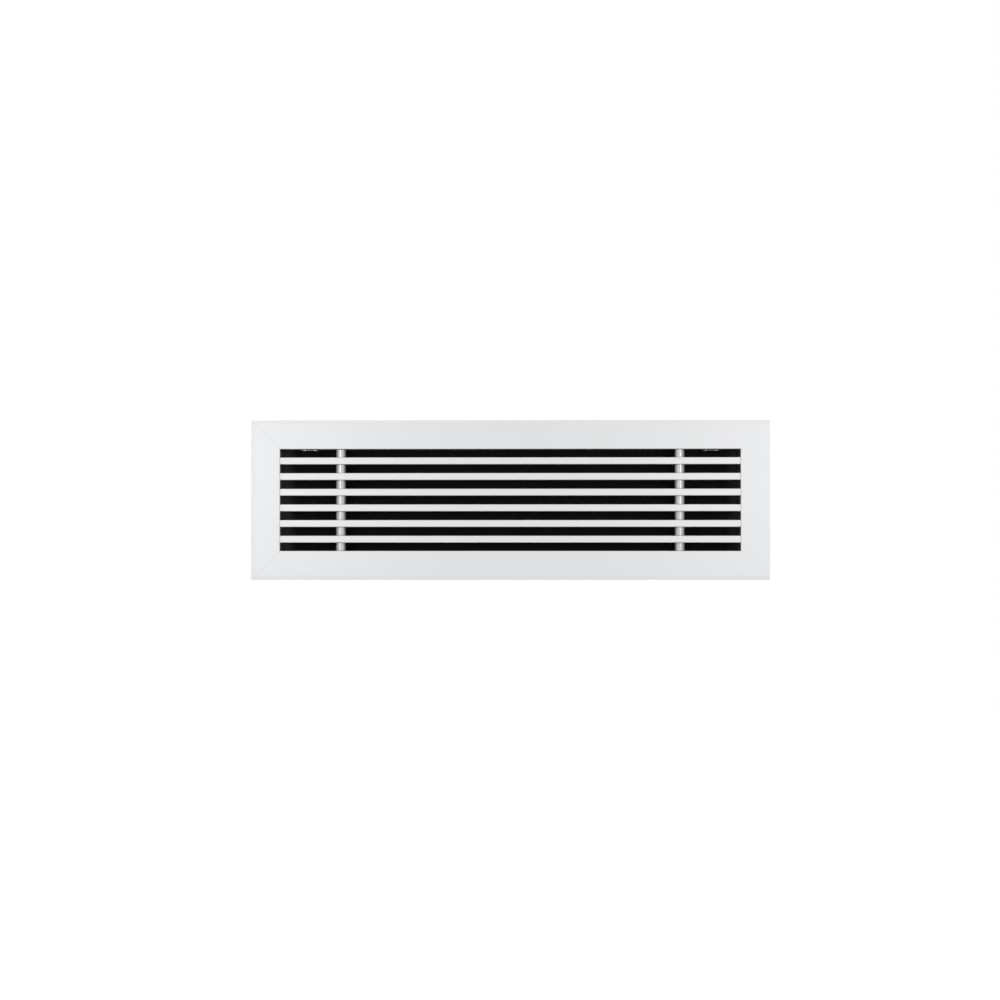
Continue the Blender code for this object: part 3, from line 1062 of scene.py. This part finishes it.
def threaded_rods(tree, given):
    radius = given("Radius")
    run = given("Threaded length")
    unit = {"Vertices": ROD_SIDES, "Side Segments": ROD_ROWS, "Radius": 1.0, "Depth": 2.0}
    rod = tree.node("GeometryNodeMeshCylinder", {}, unit)
    x, y, z = tree.parts(tree.node("GeometryNodeInputPosition"))
    along = z.math("MAXIMUM", (abs(z) - SHANK_ROWS) / (1 - SHANK_ROWS), 0.0)
    height = z.math("SIGN", z) * (given("Length") * 0.5 - run + along * run)
    angle = z.math("ARCTAN2", y, x)
    turns = height / given("Thread pitch") + angle / (2 * pi)
    ridge = abs(z.math("FRACT", turns) * 2 - 1)
    crest = z.math("MINIMUM", z.math("MAXIMUM", ridge * THREAD_STEEPER - THREAD_LOWER, 0.0), 1.0)
    started = z.math("MINIMUM", along / FADE_IN, 1.0)
    threaded = radius - given("Thread depth") * (1 - crest) * started
    tapered = radius - given("Chamfer") + (1 - along) * run
    reach = z.math("MINIMUM", threaded, tapered)
    place = (z.math("COSINE", angle) * reach, z.math("SINE", angle) * reach, height)
    rod = tree.node("GeometryNodeSetPosition", {}, {"Geometry": rod, "Position": place})
    return on_both_rods(tree, given, rod)


rod_sizes = {
    "Radius": size_of("tie_rod_right").x / 2,
    "Length": size_of("tie_rod_right").z,
    "Threaded length": THREADED_LENGTH,
    "Thread pitch": THREAD_PITCH,
    "Thread depth": THREAD_DEPTH,
    "Chamfer": ROD_CHAMFER,
    **rod_place,
}
rod_nodes = pieces("tie_rod_")
grow("tie_rods", threaded_rods, zinc, rod_nodes, rod_sizes)

# %% [markdown]
# ## Washers and nuts
#
# A washer and a nut pull up each rod end against the outside of the neck. A washer is a ring, turned as
# the tubes are. All four stand on the corners of a grid of two by two points.

# %% Grow the washers
WASHER_EDGE = 0.00012


def washers(tree, given):
    ring = turned_ring(tree, given("Outer radius"), given("Inner radius"), given("Height"), given("Edge"))
    return at_four_corners(tree, ring, given("Rod X"), given("Rod Y"), given("End Z"))


washer_sizes = {
    "Outer radius": size_of("washer_right_top").x / 2,
    "Inner radius": ROD_HOLE_RADIUS,
    "Height": size_of("washer_right_top").z,
    "Edge": WASHER_EDGE,
    "End Z": middle_of("washer_right_top").z,
    **rod_place,
}
washer_nodes = pieces("washer_")
grow("washers", washers, zinc, washer_nodes, washer_sizes)

# %% [markdown]
# A nut is made as it would be on a lathe: a hexagon bar is turned to a chamfer at both ends, which leaves
# what a hexagon and a turned solid share, and then bored and countersunk. The turned solid and the one
# for the hole are both a cylinder of four rows of points, whose end rows are made narrower or wider. The
# first is a little wider than the nut and the second a little taller, so that both cut cleanly.

# %% Grow the nuts
NUT_MARGIN = 0.0003
NUT_CHAMFER = radians(30)
NUT_BORE = 0.00255
COUNTERSINK = 0.0004
CLEAR = 1.06
INNER_ROWS_REACH = 0.4


def shouldered(tree, radius, end_radius, height, shoulder):
    """A turned solid about Z with its middle at the origin, of one radius between two sloping shoulders."""
    sockets = {"Vertices": TURNED_STEPS, "Side Segments": 3, "Radius": radius, "Depth": height}
    solid = tree.node("GeometryNodeMeshCylinder", {}, sockets)
    x, y, z = tree.parts(tree.node("GeometryNodeInputPosition"))
    at_end = abs(z) > height * INNER_ROWS_REACH
    share = 1 + at_end * (end_radius / radius - 1)
    level = z.math("SIGN", z) * (height * 0.5 - shoulder * (1 - at_end))
    place = (x * share, y * share, level)
    return tree.node("GeometryNodeSetPosition", {}, {"Geometry": solid, "Position": place})


def hex_nuts(tree, given):
    flats = given("Across flats")
    height = given("Height")
    bore = given("Bore radius")
    corner = flats / sqrt(3)
    hexagon = {"Vertices": 6, "Radius": corner, "Depth": height}
    hexagon = move(tree, tree.node("GeometryNodeMeshCylinder", {}, hexagon), rotation=(0.0, 0.0, pi / 6))
    flat_radius = flats * 0.5 - given("Face margin")
    fall = (corner * CLEAR - flat_radius) * tan(NUT_CHAMFER)
    turned = shouldered(tree, corner * CLEAR, flat_radius, height, fall)
    sink = given("Countersink")
    hole = shouldered(tree, bore, bore + sink, height * CLEAR, sink + height * (CLEAR - 1) * 0.5)
    nut = weld(tree, cut(tree, cut(tree, hexagon, turned, operation="INTERSECT"), hole))
    return at_four_corners(tree, nut, given("Rod X"), given("Rod Y"), given("End Z"))


nut_sizes = {
    "Across flats": size_of("nut_right_top").x,
    "Height": size_of("nut_right_top").z,
    "Bore radius": NUT_BORE,
    "Countersink": COUNTERSINK,
    "Face margin": NUT_MARGIN,
    "End Z": middle_of("nut_right_top").z,
    **rod_place,
}
nut_nodes = pieces("nut_")
grow("hex_nuts", hex_nuts, zinc, nut_nodes, nut_sizes)

# %% [markdown]
# ## Corner keys
#
# The keys are flat L plates, and the construction model has their true outline. A copy of its loose
# triangles is merged into plain faces, so that the edges can be broken as a press tool leaves them.

# %% Copy the corner keys
KEY_EDGE = 0.0002
FLAT_ANGLE = radians(1)

key_nodes = pieces("corner_key_")
bm = bmesh.new()
for name in key_nodes:
    bm.from_mesh(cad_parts[name].data)
bmesh.ops.remove_doubles(bm, verts=bm.verts, dist=WELD)
bmesh.ops.dissolve_limit(bm, angle_limit=FLAT_ANGLE, verts=bm.verts, edges=bm.edges)
keys_mesh = keep_mesh(bm, "corner_keys")
keys_mesh.materials.clear()
keys_mesh.materials.append(level_aluminium)
finish_piece("corner_keys", keys_mesh, key_nodes, KEY_EDGE)

# %% [markdown]
# ## Spring clips
#
# A clip is a strip of spring steel, folded over the rear edge of the neck. Its outer leg bows up to press
# on the hole in the wall, and its inner leg is stiffened by two pressed ribs. First comes the line that
# the middle of the strip follows, from the end of the inner leg round the fold to the spring tip.

# %% Draw the strip's line
CLIP_WIDTH = size_of("spring_clip_left").x
CLIP_STRIP = 0.0008
CLIP_INNER_LEG = 0.020
CLIP_FLAT = 0.005
CLIP_RISE = 0.016
CLIP_FALL = 0.009
CLIP_TIP_DROP = 0.005
CLIP_CLEARANCE = 0.0095
CLIP_GAP = 0.0003
LEG_STEPS = 40
BEND_STEPS = 24
BOW_STEPS = 24


def clip_line():
    """The line's points, each as Y and a height above the neck's inner face."""
    half = CLIP_STRIP / 2
    inner = -CLIP_GAP - half
    outer = SKIN + CLIP_GAP + half
    peak = SKIN + CLIP_CLEARANCE - half
    bend_radius = (outer - inner) / 2
    line = [(NECK_BACK - CLIP_INNER_LEG * (1 - i / LEG_STEPS), inner) for i in range(LEG_STEPS)]
    for i in range(BEND_STEPS + 1):
        angle = pi * (i / BEND_STEPS - 0.5)
        line.append((NECK_BACK + bend_radius * cos(angle), (outer + inner) / 2 + bend_radius * sin(angle)))
    rise_start = NECK_BACK - CLIP_FLAT
    for i in range(BOW_STEPS + 1):
        share = i / BOW_STEPS
        line.append((rise_start - CLIP_RISE * share, outer + (peak - outer) * (1 - cos(pi * share)) / 2))
    for i in range(1, BOW_STEPS + 1):
        share = i / BOW_STEPS
        drop = CLIP_TIP_DROP * (1 - cos(pi * share / 2))
        line.append((rise_start - CLIP_RISE - CLIP_FALL * share, peak - drop))
    return [Vector(point) for point in line]


print("The strip's line has", len(clip_line()), "points")

# %% [markdown]
# The strip is laid out as rows along this line and columns across, with more columns where a rib runs. A
# rib pushes both faces of the strip down by the same amount, as a press tool does.

# %% Press the ribs
RIB_SPACING = 0.0126
RIB_HALF_WIDTH = 0.0014
RIB_DEPTH = 0.0013
RIB_MARGIN = 0.001
RIB_COLUMNS = 8


def rib_columns():
    """Offsets across the strip: its edges, its middle and a close row of columns over each rib."""
    columns = [-CLIP_WIDTH / 2, 0.0, CLIP_WIDTH / 2]
    for centre in (-RIB_SPACING / 2, RIB_SPACING / 2):
        columns += [centre + RIB_HALF_WIDTH * (2 * i / RIB_COLUMNS - 1) for i in range(RIB_COLUMNS + 1)]
    return sorted(columns)


def rib_depth(offset, y):
    """How far the press has pushed the strip down at a point of the inner leg."""
    across = (abs(offset) - RIB_SPACING / 2) / RIB_HALF_WIDTH
    from_end = min(y - (NECK_BACK - CLIP_INNER_LEG + RIB_MARGIN), NECK_BACK - RIB_MARGIN - y) / RIB_DEPTH
    if abs(across) >= 1 or from_end <= 0:
        return 0.0
    return RIB_DEPTH * sqrt(1 - across**2) * min(from_end, 1.0)


def rib_painted_highlight(offset):
    """1 in line with a rib, where the highlight is painted, and 0 beside it."""
    return float(abs(abs(offset) - RIB_SPACING / 2) < RIB_HALF_WIDTH)


print("Each row has", len(rib_columns()), "points across the strip")

# %% [markdown]
# Each clip gets an upper and a lower sheet of points, half a strip off the line to either side. Faces join
# the points of each sheet, and the two sheets along their rims.

# %% Bend the spring clips
CLIP_EDGE = 0.00012


def spring_clip(bm, rubbed, centre_x):
    """Adds one clip to a drawing, with the middle of its width at centre_x."""
    line = clip_line()
    columns = rib_columns()
    sheets = []
    for side in (1, -1):
        rows = []
        for i, point in enumerate(line):
            along = (line[min(i + 1, len(line) - 1)] - line[max(i - 1, 0)]).normalized()
            off = Vector((-along.y, along.x)) * side * CLIP_STRIP / 2
            inner_leg = i < LEG_STEPS
            row = []
            for offset in columns:
                down = rib_depth(offset, point.x) if inner_leg else 0.0
                place = (centre_x + offset, point.x + off.x, opening_top + point.y + off.y - down)
                vert = bm.verts.new(place)
                # The ribs of the inner leg are marked for the painted highlight.
                vert[rubbed] = rib_painted_highlight(offset) if inner_leg else 0.0
                row.append(vert)
            rows.append(row)
        sheets.append(rows)
    upper, lower = sheets
    last_row = len(line) - 1
    last_column = len(columns) - 1
    for i in range(last_row):
        for j in range(last_column):
            bm.faces.new((upper[i][j], upper[i][j + 1], upper[i + 1][j + 1], upper[i + 1][j]))
            bm.faces.new((lower[i][j], lower[i + 1][j], lower[i + 1][j + 1], lower[i][j + 1]))
        for j in (0, last_column):
            bm.faces.new((upper[i][j], upper[i + 1][j], lower[i + 1][j], lower[i][j]))
    for i in (0, last_row):
        for j in range(last_column):
            bm.faces.new((upper[i][j], upper[i][j + 1], lower[i][j + 1], lower[i][j]))


clip_nodes = pieces("spring_clip_")
bm = bmesh.new()
# The clips' points carry the painted rib highlight as an attribute.
rubbed = bm.verts.layers.float.new("rubbed")
for name in clip_nodes:
    spring_clip(bm, rubbed, middle_of(name).x)
bmesh.ops.recalc_face_normals(bm, faces=bm.faces)
clips_mesh = keep_mesh(bm, "spring_clips")
clips_mesh.materials.append(spring)
finish_piece("spring_clips", clips_mesh, clip_nodes, CLIP_EDGE)

# %% [markdown]
# ## The finished scene
